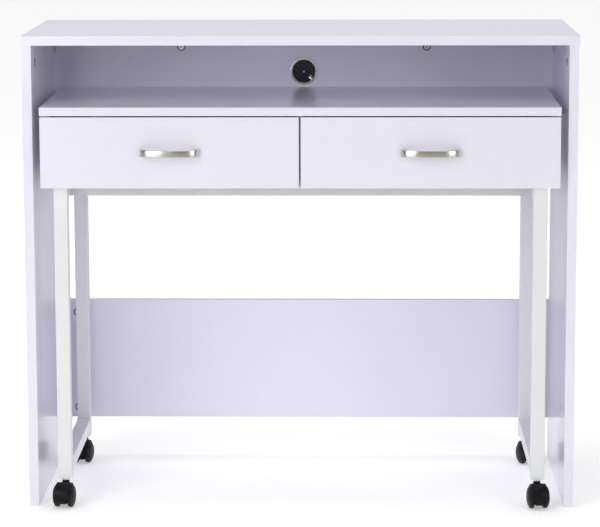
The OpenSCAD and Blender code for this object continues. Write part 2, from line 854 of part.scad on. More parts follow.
// Handle screws, cam fittings, back screws and runner screws of one drawer
module drawer_fasteners(s) {
    head_r = 4;
    head_t = 2.4;
    slot_len = 5;
    slot_w = 1;
    slot_floor = 1;
    color("silver") in_frame() {
        at_handle_screws(s) difference() {
            union() {
                translate([0, 0, -head_t]) cylinder(r = head_r, h = head_t);
                cylinder(r = handle_screw_r, h = desk_proud + handle_screw_bite);
            }
            for (a = [0, 90]) rotate([0, 0, a])
                block([-slot_len / 2, -slot_w / 2, -head_t - eps], [slot_len / 2, slot_w / 2, -slot_floor]);
        }
        in_bay(s) on_both_walls() {
            at_cams(drawer_cams) cam_fitting(drawer_t / 2, drawer_cam_edge, drawer_cam_depth);
            at_back_screws() {
                translate([0, 0, slip]) cylinder(r = back_screw_head_r, h = back_screw_sink - slip);
                translate([0, 0, slip]) cylinder(r = back_screw_r, h = back_screw_len - 1);
            }
            at_drawer_runner_screws() runner_screw(rail_screw_len);
        }
    }
}

// Half of a flattened oval, half as wide as a and as high as b, from its right foot over to its left one
function arch(a, b, steps = 28, power = 2.6) = [for (i = [0:steps]) let (t = 180 * i / steps)
    [a * sign(cos(t)) * pow(abs(cos(t)), 2 / power), b * pow(sin(t), 2 / power)]];

module handle(s) {
    foot = 12;
    bar_t = 5;
    color("silver") in_frame() difference() {
        translate([s * handle_x, desk_front, handle_z]) intersection() {
            mirror([0, 1, 0]) translate([0, 0, -handle_h / 2]) linear_extrude(height = handle_h)
                difference() {
                    polygon(arch(handle_w / 2, handle_reach));
                    translate([0, -eps]) polygon(arch(handle_w / 2 - foot, handle_reach - bar_t + eps));
                }
            rotate([90, 0, 0]) linear_extrude(height = handle_reach + eps) {
                square([handle_w - handle_h, handle_h], center = true);
                for (i = [-1, 1]) translate([i * (handle_w - handle_h) / 2, 0]) circle(d = handle_h);
            }
        }
        at_handle_screws(s)
            cylinder(r = handle_screw_r + swivel_gap, h = desk_proud + handle_screw_bite + 1);
    }
}

// ---- Nodes ----

CORNERS = ["front_left", "front_right", "rear_left", "rear_right"];

top_panel();
upper_back_panel();
lower_back_panel();
console_cam_fittings();
grommet_liner();
grommet_cap();
desktop();
carcass_bottom();
centre_divider();
carcass_back();
carcass_fasteners();
cross_rail(cross_rail_y[0]);  // front_cross_rail
cross_rail(cross_rail_y[1]);  // rear_cross_rail
frame_bolts();
caster_sockets();
caster_stems();
for (s = [-1, 1]) {
    side = s < 0 ? "left" : "right";
    side_panel(s);
    carcass_side(s);
    leg_frame(s);
    bay_runners(s);
    bay_rollers(s);
    drawer_runners(s);
    drawer_rollers(s);
    drawer_front(s);
    drawer_side(s, 0);
    drawer_side(s, 1);
    drawer_back(s);
    drawer_bottom(s);
    drawer_fasteners(s);
    handle(s);
}
for (n = [0:3]) {
    caster_hood(n);
    caster_axle(n);
    caster_wheel(n, -1);
    caster_wheel(n, 1);
}
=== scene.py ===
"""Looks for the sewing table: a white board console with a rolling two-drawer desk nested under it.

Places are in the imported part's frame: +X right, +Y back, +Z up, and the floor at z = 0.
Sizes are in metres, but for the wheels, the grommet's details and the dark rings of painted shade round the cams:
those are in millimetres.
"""

import json
import math
from random import Random

import bmesh
import bpy
from mathutils import Matrix, Vector


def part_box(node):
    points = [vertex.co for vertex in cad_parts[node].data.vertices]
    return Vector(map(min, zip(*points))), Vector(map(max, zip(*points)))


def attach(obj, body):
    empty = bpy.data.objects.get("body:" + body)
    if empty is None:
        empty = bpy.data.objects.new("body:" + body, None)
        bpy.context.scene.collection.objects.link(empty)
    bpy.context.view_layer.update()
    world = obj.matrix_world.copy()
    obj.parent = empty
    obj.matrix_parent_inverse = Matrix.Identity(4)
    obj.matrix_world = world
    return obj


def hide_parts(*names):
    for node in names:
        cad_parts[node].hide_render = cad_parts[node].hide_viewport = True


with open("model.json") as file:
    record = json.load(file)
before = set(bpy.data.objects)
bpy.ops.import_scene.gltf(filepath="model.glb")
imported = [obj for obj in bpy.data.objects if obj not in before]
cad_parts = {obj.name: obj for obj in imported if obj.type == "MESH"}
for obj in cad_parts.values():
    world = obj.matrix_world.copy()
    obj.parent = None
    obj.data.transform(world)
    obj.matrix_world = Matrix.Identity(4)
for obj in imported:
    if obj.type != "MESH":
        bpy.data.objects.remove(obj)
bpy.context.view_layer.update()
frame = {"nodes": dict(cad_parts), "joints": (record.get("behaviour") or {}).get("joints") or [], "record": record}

MM = 0.001
SIDES = ("left", "right")
CORNERS = ("front_left", "front_right", "rear_left", "rear_right")
JOINTS = {j["name"]: j for j in frame["joints"]}

# ---- Camera: far back and a little above the table, with a long lens ----

CAMERA_AT = (0.0951, -4.663, 1.2194)
CAMERA_TURN = math.radians(1.217)
CAMERA_DIP = math.radians(8.74)
CAMERA_ROLL = math.radians(-0.149)
CAMERA_LENS = 150.87
SENSOR_WIDE = 36
CAMERA_RISE = -0.07


def make_camera():
    data = bpy.data.cameras.new("camera")
    data.lens = CAMERA_LENS
    data.sensor_width = SENSOR_WIDE
    data.shift_y = CAMERA_RISE
    camera = bpy.data.objects.new("camera", data)
    turn = Matrix.Rotation(CAMERA_TURN, 4, "Z")
    dip = Matrix.Rotation(math.pi / 2 - CAMERA_DIP, 4, "X")
    roll = Matrix.Rotation(CAMERA_ROLL, 4, "Z")
    camera.matrix_world = Matrix.Translation(CAMERA_AT) @ turn @ dip @ roll
    bpy.context.collection.objects.link(camera)
    bpy.context.scene.camera = camera


make_camera()

# ---- Studio: a pale floor in a room that is bright behind the table and dim in front, and soft boxes ----

FLOOR_HALF = 60.0
# How strongly the floor glows, from far in front to far behind
GLOW_ALONG_Y = ((-3.0, 0.15), (-1.2, 0.17), (-0.4, 0.32), (0.7, 0.38), (2.0, 0.57), (5.0, 0.66))
GLOW_FROM = GLOW_ALONG_Y[0][0]
GLOW_TO = GLOW_ALONG_Y[-1][0]
FLOOR_WHITE = (0.95, 0.94, 0.94, 1)
ROOM_FRONT = (0.20, 0.20, 0.20, 1)
ROOM_BACK = (0.66, 0.65, 0.68, 1)
LIGHT_TINT = (0.955, 1.0, 0.945)
# Each soft box: its name, place, the point it faces, its width and height, and its watts
SOFT_BOXES = (
    ("left_box", (-1.6, -2.6, 1.1), (0, 0, 0.6), (2.1, 1.2), 23.5),
    ("right_box", (2.05, -2.1, 1.1), (0, 0, 0.6), (1.4, 1.2), 13),
    ("high_left", (-1.9, -2.6, 2.6), (0, 0, 0.5), (1.6, 1.6), 24),
    ("high_right", (1.9, -2.6, 2.6), (0, 0, 0.5), (1.6, 1.6), 8),
    ("overhead", (0, 0.1, 3.0), (0, 0.101, 0), (2.0, 1.4), 30),
)


def make_room():
    world = bpy.data.worlds.new("room")
    world.use_nodes = True
    tree = world.node_tree
    where = tree.nodes.new("ShaderNodeTexCoord")
    split = tree.nodes.new("ShaderNodeSeparateXYZ")
    ramp = tree.nodes.new("ShaderNodeMix")
    ramp.data_type = "RGBA"
    ramp.inputs["A"].default_value = ROOM_FRONT
    ramp.inputs["B"].default_value = ROOM_BACK
    tree.links.new(where.outputs["Generated"], split.inputs[0])
    tree.links.new(split.outputs["Y"], ramp.inputs["Factor"])
    tree.links.new(ramp.outputs["Result"], tree.nodes["Background"].inputs["Color"])
    bpy.context.scene.world = world
    bpy.context.scene.view_settings.view_transform = "Standard"


def make_light(name, at, aim, size, watts):
    """A soft box that the camera doesn't see."""
    data = bpy.data.lights.new(name, "AREA")
    data.shape = "RECTANGLE"
    data.size, data.size_y = size
    data.energy = watts
    data.color = LIGHT_TINT
    light = bpy.data.objects.new(name, data)
    light.location = at
    light.rotation_euler = (Vector(aim) - Vector(at)).to_track_quat("-Z", "Y").to_euler()
    light.visible_camera = False
    bpy.context.collection.objects.link(light)


def glow_place(y):
    """Where y lies along the glow, from 0 to 1."""
    return (y - GLOW_FROM) / (GLOW_TO - GLOW_FROM)


def make_floor():
    """A matt pale floor, which glows more behind the table so that it fades evenly to white."""
    mesh = bpy.data.meshes.new("floor")
    h = FLOOR_HALF
    mesh.from_pydata([(-h, -h, 0), (h, -h, 0), (h, h, 0), (-h, h, 0)], [], [(0, 1, 2, 3)])
    floor = bpy.data.objects.new("floor", mesh)
    bpy.context.collection.objects.link(floor)
    paint = bpy.data.materials.new("floor_paint")
    paint.use_nodes = True
    tree = paint.node_tree
    shader = tree.nodes["Principled BSDF"]
    shader.inputs["Base Color"].default_value = FLOOR_WHITE
    shader.inputs["Roughness"].default_value = 0.9
    shader.inputs["Specular IOR Level"].default_value = 0.1
    shader.inputs["Emission Color"].default_value = (1, 1, 1, 1)
    where = tree.nodes.new("ShaderNodeTexCoord")
    split = tree.nodes.new("ShaderNodeSeparateXYZ")
    tree.links.new(where.outputs["Object"], split.inputs[0])
    glow = tree.nodes.new("ShaderNodeFloatCurve")
    span = tree.nodes.new("ShaderNodeMapRange")
    span.inputs["From Min"].default_value = GLOW_FROM
    span.inputs["From Max"].default_value = GLOW_TO
    tree.links.new(split.outputs["Y"], span.inputs["Value"])
    tree.links.new(span.outputs[0], glow.inputs["Value"])
    curve = glow.mapping.curves[0]
    for point, (y, strength) in zip(curve.points, (GLOW_ALONG_Y[0], GLOW_ALONG_Y[-1])):
        point.location = (glow_place(y), strength)
    for y, strength in GLOW_ALONG_Y[1:-1]:
        curve.points.new(glow_place(y), strength)
    glow.mapping.update()
    tree.links.new(glow.outputs[0], shader.inputs["Emission Strength"])
    mesh.materials.append(paint)


CARD_Y = 0.75
CARD_HALF = 0.60
CARD_LOW = 0.01
CARD_HIGH = 0.84
CARD_SHADE = (0.52, 0.51, 0.53, 1)


def make_card():
    """A grey glowing sheet behind the table that only reflections see: a painted reflection, so that the boards'
    inner faces don't glare.
    """
    mesh = bpy.data.meshes.new("card")
    w, y, low, high = CARD_HALF, CARD_Y, CARD_LOW, CARD_HIGH
    mesh.from_pydata([(-w, y, low), (w, y, low), (w, y, high), (-w, y, high)], [], [(0, 1, 2, 3)])
    card = bpy.data.objects.new("card", mesh)
    bpy.context.collection.objects.link(card)
    reflection_glow = bpy.data.materials.new("card_reflection_glow")
    reflection_glow.use_nodes = True
    shader = reflection_glow.node_tree.nodes["Principled BSDF"]
    shader.inputs["Base Color"].default_value = (0, 0, 0, 1)
    shader.inputs["Specular IOR Level"].default_value = 0
    shader.inputs["Emission Color"].default_value = CARD_SHADE
    shader.inputs["Emission Strength"].default_value = 1
    mesh.materials.append(reflection_glow)
    card.visible_camera = False
    card.visible_diffuse = False
    card.visible_shadow = False
    card.visible_transmission = False


make_room()
for soft_box in SOFT_BOXES:
    make_light(*soft_box)
make_floor()
make_card()

# ---- Materials: each is built from nodes, with its textures in metres of the object's own space ----


class Finish:
    """A Principled material, and the few node patterns that the finishes share."""

    def __init__(self, name, color, roughness, **sockets):
        self.material = bpy.data.materials.new(name)
        self.material.use_nodes = True
        self.tree = self.material.node_tree
        self.shader = self.tree.nodes["Principled BSDF"]
        self.put("Base Color", (*color, 1))
        self.put("Roughness", roughness)
        for socket, value in sockets.items():
            self.put(socket.replace("_", " "), value)
        self.place = self.node("ShaderNodeTexCoord").outputs["Object"]
        self.bumps = None

    def put(self, socket, value):
        self.shader.inputs[socket].default_value = value

    def node(self, kind, **settings):
        made = self.tree.nodes.new(kind)
        for key, value in settings.items():
            setattr(made, key, value)
        return made

    def link(self, out, into):
        self.tree.links.new(out, into)

    def stretched(self, stretch):
        """The object's own space, squeezed by a factor along each axis."""
        scaled = self.node("ShaderNodeMapping")
        scaled.inputs["Scale"].default_value = stretch
        self.link(self.place, scaled.inputs["Vector"])
        return scaled.outputs[0]

    def noise(self, per_metre, detail, stretch=None):
        made = self.node("ShaderNodeTexNoise")
        made.inputs["Scale"].default_value = per_metre
        made.inputs["Detail"].default_value = detail
        self.link(self.stretched(stretch) if stretch else self.place, made.inputs["Vector"])
        return made.outputs["Fac"]

    def span(self, value, low, high, start=0.3, end=0.7):
        """value, from start to end, spread over low to high."""
        made = self.node("ShaderNodeMapRange")
        for socket, number in (("From Min", start), ("From Max", end), ("To Min", low), ("To Max", high)):
            made.inputs[socket].default_value = number
        self.link(value, made.inputs["Value"])
        return made.outputs[0]

    def tint(self, value, low, high):
        """The base colour runs from low to high as value goes from 0 to 1."""
        made = self.node("ShaderNodeMix", data_type="RGBA")
        made.inputs["A"].default_value = (*low, 1)
        made.inputs["B"].default_value = (*high, 1)
        self.link(value, made.inputs["Factor"])
        self.link(made.outputs["Result"], self.shader.inputs["Base Color"])

    def roughen(self, value, low, high):
        self.link(self.span(value, low, high), self.shader.inputs["Roughness"])

    def bump(self, value, depth, strength=1.0):
        made = self.node("ShaderNodeBump")
        made.inputs["Distance"].default_value = depth
        made.inputs["Strength"].default_value = strength
        self.link(value, made.inputs["Height"])
        if self.bumps is not None:
            self.link(self.bumps, made.inputs["Normal"])
        self.bumps = made.outputs["Normal"]
        self.link(self.bumps, self.shader.inputs["Normal"])


def shade(color, factor):
    return tuple(c * factor for c in color)


BOARD_WHITE = (0.825, 0.797, 0.925)


def melamine_board():
    """Satin foil with a fine emboss and a faint cloudiness."""
    f = Finish("melamine_board", BOARD_WHITE, 0.16, Specular_IOR_Level=0.5)
    f.tint(f.span(f.noise(9, 4), 0, 1), shade(BOARD_WHITE, 0.985), shade(BOARD_WHITE, 1.01))
    f.roughen(f.noise(420, 5), 0.14, 0.22)
    f.bump(f.noise(1400, 3), 0.00001, 0.5)
    return f.material


def edge_band_and_highlight():
    """The plastic band on a board's rounded edges: smoother than the foil, and a little brighter as a painted
    highlight along the edges.
    """
    f = Finish("edge_band_and_highlight", shade(BOARD_WHITE, 1.03), 0.22, Specular_IOR_Level=0.6)
    f.tint(f.span(f.noise(60, 2), 0, 1), shade(BOARD_WHITE, 1.0), shade(BOARD_WHITE, 1.05))
    f.roughen(f.noise(300, 3), 0.18, 0.27)
    f.bump(f.noise(900, 2), 0.00002, 0.4)
    return f.material


def hardboard():
    f = Finish("hardboard", (0.70, 0.68, 0.72), 0.45)
    f.tint(f.span(f.noise(35, 6), 0, 1), (0.68, 0.66, 0.69), (0.74, 0.72, 0.76))
    f.roughen(f.noise(500, 4), 0.4, 0.55)
    f.bump(f.noise(800, 5), 0.00006)
    return f.material


def powder_coat():
    """White powder coat: a fine orange peel over a smooth tube."""
    f = Finish("powder_coat", (0.80, 0.79, 0.82), 0.32, Specular_IOR_Level=0.5)
    f.tint(f.span(f.noise(25, 3), 0, 1), (0.785, 0.775, 0.81), (0.81, 0.80, 0.835))
    f.roughen(f.noise(700, 3), 0.27, 0.38)
    f.bump(f.noise(650, 2), 0.00005, 0.8)
    return f.material


def rail_coat_painted_shade():
    """The cross rails' coat, greyer than the legs': painted shade for the shadow that falls on them below the
    drawer fronts.
    """
    f = Finish("rail_coat_painted_shade", (0.62, 0.61, 0.63), 0.4, Specular_IOR_Level=0.5)
    f.tint(f.span(f.noise(25, 3), 0, 1), (0.60, 0.59, 0.61), (0.64, 0.63, 0.65))
    f.roughen(f.noise(700, 3), 0.34, 0.46)
    f.bump(f.noise(650, 2), 0.00005, 0.8)
    return f.material


def white_enamel():
    f = Finish("white_enamel", (0.74, 0.74, 0.74), 0.3)
    f.tint(f.span(f.noise(40, 4), 0, 1), (0.70, 0.70, 0.70), (0.76, 0.76, 0.75))
    f.roughen(f.noise(300, 4), 0.25, 0.4)
    f.bump(f.noise(500, 2), 0.00003)
    return f.material


def brushed_nickel():
    """Satin nickel, brushed along the bow."""
    f = Finish("brushed_nickel", (0.70, 0.66, 0.61), 0.22, Metallic=1.0)
    brush = f.noise(1, 4, stretch=(30, 30, 5200))
    f.tint(f.span(brush, 0, 1), (0.64, 0.60, 0.55), (0.76, 0.72, 0.67))
    f.roughen(brush, 0.17, 0.27)
    f.bump(brush, 0.00003, 0.6)
    return f.material


def zinc_plate():
    """Cast and turned zinc-plated fittings, with a fine grain, and painted shade that darkens the base colour in
    their recesses.
    """
    f = Finish("zinc_plate", (0.60, 0.60, 0.63), 0.32, Metallic=1.0)
    # Painted shade: ambient occlusion darkens the base colour in recesses, multiplied by the grain.
    recess_shade = f.node("ShaderNodeAmbientOcclusion", samples=8)
    recess_shade.inputs["Distance"].default_value = 1.6 * MM
    grain = f.node("ShaderNodeMath", operation="MULTIPLY")
    f.link(f.span(recess_shade.outputs["AO"], 0, 1, 0.25, 1.0), grain.inputs[0])
    f.link(f.span(f.noise(180, 5), 0.75, 1), grain.inputs[1])
    f.tint(grain.outputs[0], (0.03, 0.03, 0.035), (0.78, 0.77, 0.79))
    f.roughen(f.noise(900, 4), 0.24, 0.42)
    f.bump(f.noise(1500, 3), 0.00004)
    return f.material


def bright_steel():
    f = Finish("bright_steel", (0.66, 0.66, 0.68), 0.2, Metallic=1.0)
    f.tint(f.span(f.noise(120, 4), 0, 1), (0.58, 0.58, 0.60), (0.72, 0.72, 0.74))
    f.roughen(f.noise(1, 3, stretch=(400, 400, 3000)), 0.15, 0.3)
    f.bump(f.noise(1, 2, stretch=(300, 300, 4000)), 0.00002)
    return f.material


def chrome_ring():
    f = Finish("chrome_ring", (0.78, 0.78, 0.80), 0.12, Metallic=1.0)
    f.tint(f.span(f.noise(200, 3), 0, 1), (0.74, 0.74, 0.76), (0.82, 0.82, 0.84))
    f.roughen(f.noise(600, 4), 0.08, 0.18)
    return f.material


def black_plastic():
    """Moulded nylon, satin black with a fine spark-eroded grain."""
    f = Finish("black_plastic", (0.008, 0.008, 0.010), 0.4, Specular_IOR_Level=0.14)
    f.tint(f.span(f.noise(140, 4), 0, 1), (0.005, 0.005, 0.006), (0.012, 0.011, 0.014))
    f.roughen(f.noise(1600, 4), 0.32, 0.48)
    f.bump(f.noise(2200, 3), 0.00004, 0.8)
    return f.material


def gloss_black():
    f = Finish("gloss_black", (0.012, 0.012, 0.013), 0.16, Specular_IOR_Level=0.5)
    f.tint(f.span(f.noise(90, 3), 0, 1), (0.010, 0.010, 0.011), (0.018, 0.018, 0.019))
    f.roughen(f.noise(700, 4), 0.12, 0.24)
    f.bump(f.noise(900, 2), 0.00002)
    return f.material


def black_nylon():
    """A turned black wheel: satin, with a faint mottle of tone and roughness all over."""
    f = Finish("black_nylon", (0.011, 0.011, 0.013), 0.4, Specular_IOR_Level=0.16)
    f.tint(f.span(f.noise(260, 6), 0, 1), (0.006, 0.006, 0.007), (0.018, 0.018, 0.020))
    f.roughen(f.noise(500, 5), 0.30, 0.52)
    f.bump(f.noise(1200, 3), 0.00004)
    return f.material


def white_nylon():
    f = Finish("white_nylon", (0.78, 0.77, 0.74), 0.4, Subsurface_Weight=0.2, Subsurface_Scale=0.002)
    f.tint(f.span(f.noise(150, 3), 0, 1), (0.75, 0.74, 0.71), (0.80, 0.79, 0.77))
    f.roughen(f.noise(600, 3), 0.35, 0.5)
    f.bump(f.noise(900, 2), 0.00003)
    return f.material


def white_plastic():
    f = Finish("white_plastic", (0.79, 0.78, 0.82), 0.35)
    f.tint(f.span(f.noise(120, 3), 0, 1), (0.77, 0.76, 0.80), (0.81, 0.80, 0.84))
    f.roughen(f.noise(900, 4), 0.3, 0.45)
    f.bump(f.noise(1300, 3), 0.00003)
    return f.material


FINISHES = {
    "white_board": melamine_board(),
    "hardboard": hardboard(),
    "white_powder_coat": powder_coat(),
    "white_enamel": white_enamel(),
    "brushed_nickel": brushed_nickel(),
    "zinc_plate": zinc_plate(),
    "bright_steel": bright_steel(),
    "chrome_ring": chrome_ring(),
    "black_plastic": black_plastic(),
    "black_nylon": black_nylon(),
    "white_nylon": white_nylon(),
    "white_plastic": white_plastic(),
}
EDGE_BAND_AND_HIGHLIGHT = edge_band_and_highlight()
GLOSS_BLACK = gloss_black()
RAIL_PAINTED_SHADE = rail_coat_painted_shade()

# ---- CAD pieces: their own shapes, with softened edges and finished surfaces ----

# Radius of the softened edges for each finish
SOFTENING = {
    "white_board": 0.7 * MM,
    "hardboard": 0.3 * MM,
    "white_powder_coat": 0.25 * MM,
    "white_enamel": 0.2 * MM,
    "zinc_plate": 0.25 * MM,
    "bright_steel": 0.25 * MM,
    "chrome_ring": 0.2 * MM,
    "black_plastic": 0.5 * MM,
    "black_nylon": 0.4 * MM,
    "white_nylon": 0.3 * MM,
    "white_plastic": 0.6 * MM,
    "brushed_nickel": 0.4 * MM,
}

WELD_WITHIN = 0.001 * MM
SHARP_ANGLE = math.radians(35)
BEVEL_SEGMENTS = 3


def soften(piece, radius, band):
    """Joins a CAD mesh's faces and rounds its sharp edges, which take the second material if band is true."""
    weld = piece.modifiers.new("weld", "WELD")
    weld.merge_threshold = WELD_WITHIN
    bevel = piece.modifiers.new("soft_edges", "BEVEL")
    bevel.width = radius
    bevel.segments = BEVEL_SEGMENTS
    bevel.limit_method = "ANGLE"
    bevel.angle_limit = SHARP_ANGLE
    bevel.harden_normals = True
    bevel.use_clamp_overlap = True
    if band:
        # The rounded edges take the edge band, whose brighter colour is partly painted highlight.
        bevel.material = 1


def dress_cad_nodes():
    slots = {row["node"]: row["material_slot"] for row in frame["record"]["subparts"]}
    for name, piece in frame["nodes"].items():
        slot = slots[name]
        piece.data.materials.clear()
        piece.data.materials.append(FINISHES[slot])
        banded = slot == "white_board"
        if banded:
            piece.data.materials.append(EDGE_BAND_AND_HIGHLIGHT)
        soften(piece, SOFTENING[slot], banded)


dress_cad_nodes()
frame["nodes"]["grommet_cap"].data.materials[0] = GLOSS_BLACK
# The cross rails take the greyer coat: painted shade for the shadow below the drawer fronts.
for rail in ("front_cross_rail", "rear_cross_rail"):
    frame["nodes"][rail].data.materials[0] = RAIL_PAINTED_SHADE

# ---- Shared mesh code ----


def add_piece(name, mesh_parts, finish, body, replaced=None):
    """A new piece from (points, faces), riding on a body, in place of a CAD node if one is named."""
    points, faces = mesh_parts
    mesh = bpy.data.meshes.new(name)
    mesh.from_pydata(points, [], faces)
    mesh.materials.append(FINISHES[finish])
    mesh.shade_smooth()
    piece = bpy.data.objects.new(name, mesh)
    bpy.context.collection.objects.link(piece)
    shape = bmesh.new()
    shape.from_mesh(mesh)
    bmesh.ops.recalc_face_normals(shape, faces=shape.faces)
    for edge in shape.edges:
        edge.smooth = len(edge.link_faces) == 2 and edge.calc_face_angle() < SHARP_ANGLE
    shape.to_mesh(mesh)
    shape.free()
    if replaced:
        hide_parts(replaced)
    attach(piece, body)


def rings_to_mesh(rings, closed=False):
    """Joins rings of equally many points with quads, in a loop if closed, and else with closed ends."""
    count = len(rings[0])
    points = [p for ring in rings for p in ring]
    faces = []
    last = len(rings) if closed else len(rings) - 1
    for i in range(last):
        a, b = i * count, (i + 1) % len(rings) * count
        for j in range(count):
            k = (j + 1) % count
            faces.append((a + j, a + k, b + k, b + j))
    if not closed:
        faces.append(tuple(range(count))[::-1])
        faces.append(tuple((len(rings) - 1) * count + j for j in range(count)))
    return points, faces


def power(value, exponent):
    """A power that keeps its value's sign."""
    return math.copysign(abs(value) ** exponent, value)


# ---- Handles: a bow of satin nickel, thick at its feet and slimmer in the middle ----

HANDLE_RINGS = 72
BOW_POWER = 2 / 2.6
FOOT_WIDTH = 12 * MM
BAR_THICK = 5 * MM
BAR_WAIST = 0.9
# A strap corner's share of the bar's thickness and of half its height
CORNER_OUT = 0.26
CORNER_UP = 0.18
CORNER_STEPS = 6
# Steps past each corner, along the next flat, that keep the flats flat
SECTION_AHEAD = ((-0.02, 0), (0, -0.02), (0.02, 0), (0, 0.02))
WAIST_POWER = 1.5


def bow_point(turn, half_width, reach):
    """A point of a bow's outline, from its right foot at turn 0 to its left foot at half a turn."""
    return half_width * power(math.cos(turn), BOW_POWER), reach * abs(math.sin(turn)) ** BOW_POWER


def strap_section():
    """A flat strap's outline with rounded corners, as (out, up) with out from 0 to 1 and up from -1 to 1."""
    section = []
    for k, (out, up) in enumerate(((1, 1), (0, 1), (0, -1), (1, -1))):
        inward = 1 if out == 0 else -1
        centre = (out + inward * CORNER_OUT, up - up * CORNER_UP)
        for i in range(CORNER_STEPS + 1):
            a = math.radians(90 * k + 90 * i / CORNER_STEPS)
            section.append((centre[0] + CORNER_OUT * math.cos(a), centre[1] + CORNER_UP * math.sin(a)))
        ahead = SECTION_AHEAD[k]
        for stride in (1, 2):
            section.append((section[-1][0] + ahead[0] * stride, section[-1][1] + ahead[1] * stride))
    return section


SECTION = strap_section()


def make_handle(side):
    low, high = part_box(f"{side}_handle")
    middle = (low + high) / 2
    half_width, reach = (high.x - low.x) / 2, high.y - low.y
    rings = []
    for i in range(HANDLE_RINGS + 1):
        turn = math.pi * i / HANDLE_RINGS
        outer = bow_point(turn, half_width, reach)
        inner = bow_point(turn, half_width - FOOT_WIDTH, reach - BAR_THICK)
        waist = 1 - (1 - BAR_WAIST) * math.sin(turn) ** WAIST_POWER
        half_high = (high.z - low.z) / 2 * waist
        ring = []
        for out, up in SECTION:
            x = inner[0] + (outer[0] - inner[0]) * out
            y = inner[1] + (outer[1] - inner[1]) * out
            ring.append((middle.x + x, high.y - y, middle.z + half_high * up))
        rings.append(ring)
    add_piece(f"{side}_bow", rings_to_mesh(rings), "brushed_nickel", f"{side}_drawer", f"{side}_handle")


for side in SIDES:
    make_handle(side)

# ---- Caster wheels: turned nylon, with a grooved tread, a stepped dome and a hub cap; in millimetres ----

WHEEL_R = 21.0
WHEEL_GAP = 8.0
WHEEL_WIDE = 12.5
WHEEL_SPOKES = 96
# The wheel's inner face, from the bore's end to the rim, as (radius, distance out from it)
WHEEL_BACK = [
    (0, 7.3), (3.15, 7.3), (3.15, 0.3), (3.5, 0), (6.2, 0),
    (6.6, 0.3), (7.0, 1.5), (15.8, 1.5), (16.2, 0.3), (16.6, 0),
]
RIM_ROUND = 3.0
TREAD_GROOVE = [(WHEEL_R, 3.6), (20.75, 3.9), (20.75, 4.3), (WHEEL_R, 4.6)]
DOME_HIGH = 7.0
DOME_FLAT = 5.0
# Turns on the dome, in degrees: the first and last of its sunk band, and its cut ring
BAND_TURNS = (30, 40)
BAND_DEEP = 0.45
RING_TURN = 75
# The cut ring's two edges, as (radius, distance out) from its middle
RING_CUT = ((0.5, 0), (0.3, -0.6), (-0.3, -0.6), (-0.5, 0))
HUB_CAP = [(2.4, WHEEL_WIDE), (2.0, WHEEL_WIDE - 0.5), (1.2, WHEEL_WIDE - 0.8), (0, WHEEL_WIDE - 0.8)]


def wheel_profile():
    """Points of (radius, distance out from the wheel's inner face), in millimetres."""
    rim = WHEEL_R - RIM_ROUND
    points = list(WHEEL_BACK)
    for a in (math.radians(t) for t in range(0, 91, 15)):
        points.append((rim + RIM_ROUND * math.sin(a), RIM_ROUND - RIM_ROUND * math.cos(a)))
    points += TREAD_GROOVE
    shoulder = WHEEL_WIDE - DOME_HIGH
    for t in range(0, 91, 5):
        a = math.radians(t)
        radius = DOME_FLAT + (WHEEL_R - DOME_FLAT) * math.cos(a)
        out = shoulder + DOME_HIGH * math.sin(a)
        if t == RING_TURN:
            points += [(radius + across, out + along) for across, along in RING_CUT]
        elif BAND_TURNS[0] <= t <= BAND_TURNS[1]:
            points.append((radius, out - BAND_DEEP))
        else:
            points.append((radius, out))
    return points + HUB_CAP


def lathe(profile, at, axis, spokes):
    """Turns (radius, height) points, in millimetres, about axis from at. Points on the axis become poles."""
    axis = Vector(axis).normalized()
    across = axis.cross(Vector((0, 0, 1))).normalized()
    up = across.cross(axis)
    points, faces, rings = [], [], []
    for radius, out in profile:
        if radius == 0:
            rings.append([len(points)] * spokes)
            points.append(at + axis * out * MM)
            continue
        ring = []
        for i in range(spokes):
            a = math.tau * i / spokes
            ring.append(len(points))
            points.append(at + axis * out * MM + (across * math.cos(a) + up * math.sin(a)) * radius * MM)
        rings.append(ring)
    for low, high in zip(rings, rings[1:]):
        for i in range(spokes):
            k = (i + 1) % spokes
            corners = (low[i], low[k], high[k], high[i])
            faces.append(tuple(dict.fromkeys(corners)))
    return points, faces


def make_wheel(corner, letter):
    joint = JOINTS[f"{corner}_wheel_{letter}_spin"]
    axis = Vector(joint["axis"]) * (-1 if letter == "a" else 1)
    at = Vector(joint["pos_m"]) + axis * WHEEL_GAP * MM
    name = f"{corner}_wheel_{letter}"
    turned = lathe(wheel_profile(), at, axis, WHEEL_SPOKES)
    add_piece(f"{name}_turned", turned, "black_nylon", name, f"{corner}_caster_wheel_{letter}")


for corner in CORNERS:
    for letter in "ab":
        make_wheel(corner, letter)

# ---- Cable grommet: a rivet near the cap's middle, and two rubber lips in its notch; in millimetres ----

LIPS_AT = Vector((0, 205.2, 765.5)) * MM
RIVET_AT = Vector((0, 203.3, 765.5)) * MM
NOTCH_TURN = math.radians(-45)
NOTCH_IN = 14.9
NOTCH_OUT = 22.1
NOTCH_HALF = 3.8
SLIT_HALF = 1.1
LIP_THICK = 0.7
LIP_ROUND = 0.3
# The rim of a lip, as (share of its thickness, share of its rounding that it pulls in)
LIP_RIM = ((0, 1), (0, 0.3), (0.25, 0), (0.75, 0), (1, 0.3), (1, 1))
LIP_CORNER_STEPS = 4
LEAST_RADIUS = 0.02
RIVET = [(0, 0.9), (0.5, 0.86), (0.95, 0.72), (1.25, 0.5), (1.4, 0.25), (1.45, 0), (1.2, -0.2), (0, -0.2)]
FITTING_SPOKES = 48


